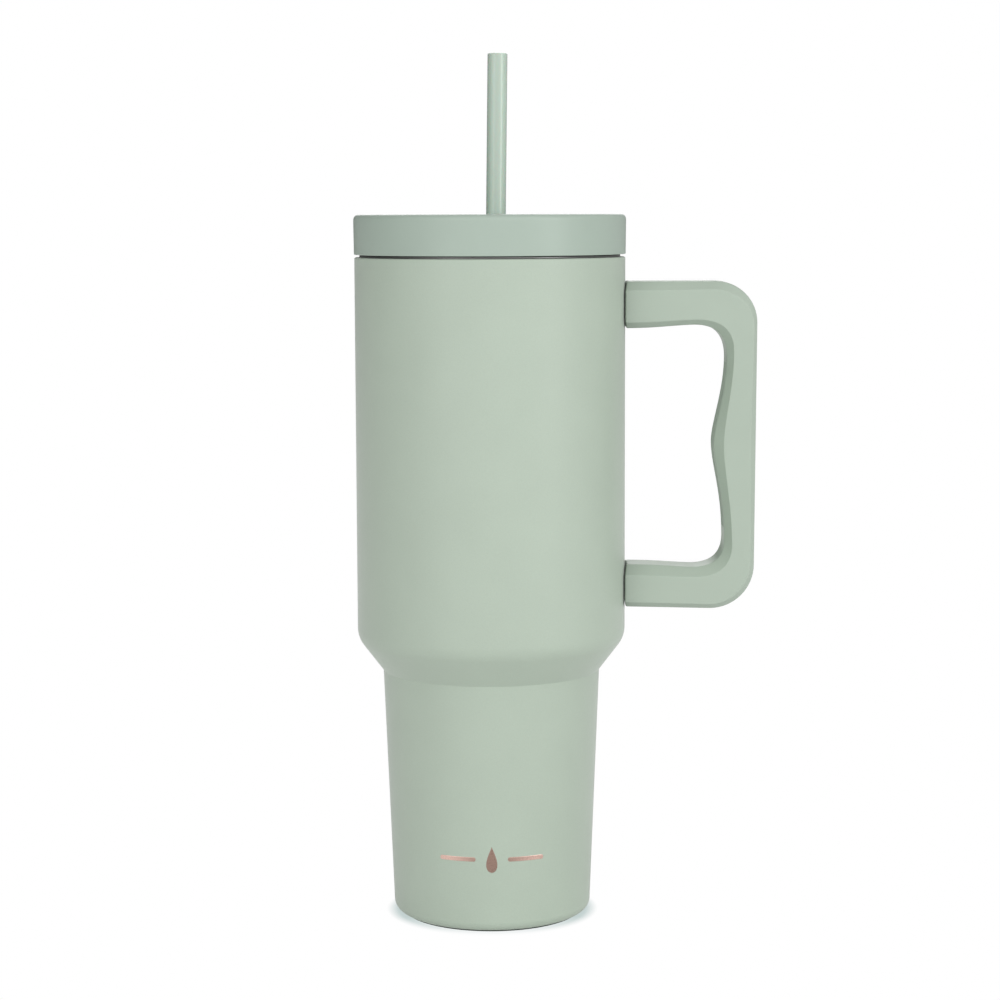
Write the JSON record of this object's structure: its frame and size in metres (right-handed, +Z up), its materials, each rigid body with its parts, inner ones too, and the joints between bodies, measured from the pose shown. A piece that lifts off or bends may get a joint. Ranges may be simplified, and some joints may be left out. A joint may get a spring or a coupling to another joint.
{
  "type": "insulated tumbler with lid",
  "caption": "Tall vacuum-walled steel tumbler with a cup-holder base, side handle, screw lid with rotating cover, and a straw.",
  "frame": {"origin": "centre of the base pad's underside, on the ground", "axes": "+Z up along the body's axis, +X towards the handle, -Y is the front"},
  "size_m": [0.1457, 0.0986, 0.3155],
  "materials": {
    "powder_coat": "fine matte powder coat",
    "bare_steel": "brushed stainless steel",
    "copper": "thin copper foil",
    "handle_plastic": "fine-grained moulded plastic",
    "grip_rubber": "soft overmoulded rubber",
    "lid_plastic": "satin moulded plastic",
    "straw_plastic": "smooth tinted plastic",
    "seal_silicone": "translucent silicone",
    "base_rubber": "matte rubber",
    "sealing_resin": "hard sealing resin"
  },
  "bodies": {
    "vessel": {"outer_wall": "powder_coat", "inner_liner": "bare_steel", "base_plate": "bare_steel", "vacuum_plug": "sealing_resin", "getter_capsule": "bare_steel", "base_pad": "base_rubber", "copper_foil": "copper", "handle_body": "handle_plastic", "handle_grip_insert": "grip_rubber", "upper_bracket": "bare_steel", "lower_bracket": "bare_steel", "upper_bracket_screw": "bare_steel", "lower_bracket_screw": "bare_steel", "upper_screw_cap": "grip_rubber", "lower_screw_cap": "grip_rubber"},
    "seal_ring": {"lid_seal": "seal_silicone"},
    "lid": {"lid_shell": "lid_plastic", "lid_plug": "lid_plastic", "straw_seal": "seal_silicone", "cover_pivot": "lid_plastic"},
    "cover": {"rotating_cover": "lid_plastic", "cover_seal": "seal_silicone"},
    "straw": {"straw": "straw_plastic"}
  },
  "joints": [
    {"name": "lid_rise", "type": "slide", "parent": "vessel", "child": "seal_ring", "axis": [0, 0, 1], "range_m": [0, 0.0075]},
    {"name": "lid_turn", "type": "hinge", "parent": "seal_ring", "child": "lid", "pos_m": [0, 0, 0.25], "axis": [0, 0, 1], "range_deg": [0, 450]},
    {"name": "cover_turn", "type": "hinge", "parent": "lid", "child": "cover", "pos_m": [0, 0, 0.254], "axis": [0, 0, 1], "range_deg": [0, 55]},
    {"name": "straw_slide", "type": "slide", "parent": "lid", "child": "straw", "axis": [0.0133, 0, 0.9999], "range_m": [0, 0.25]}
  ],
  "couplings": [
    {"joint": "lid_rise", "follows": "lid_turn", "m_per_rad": 0.00095493}
  ]
}
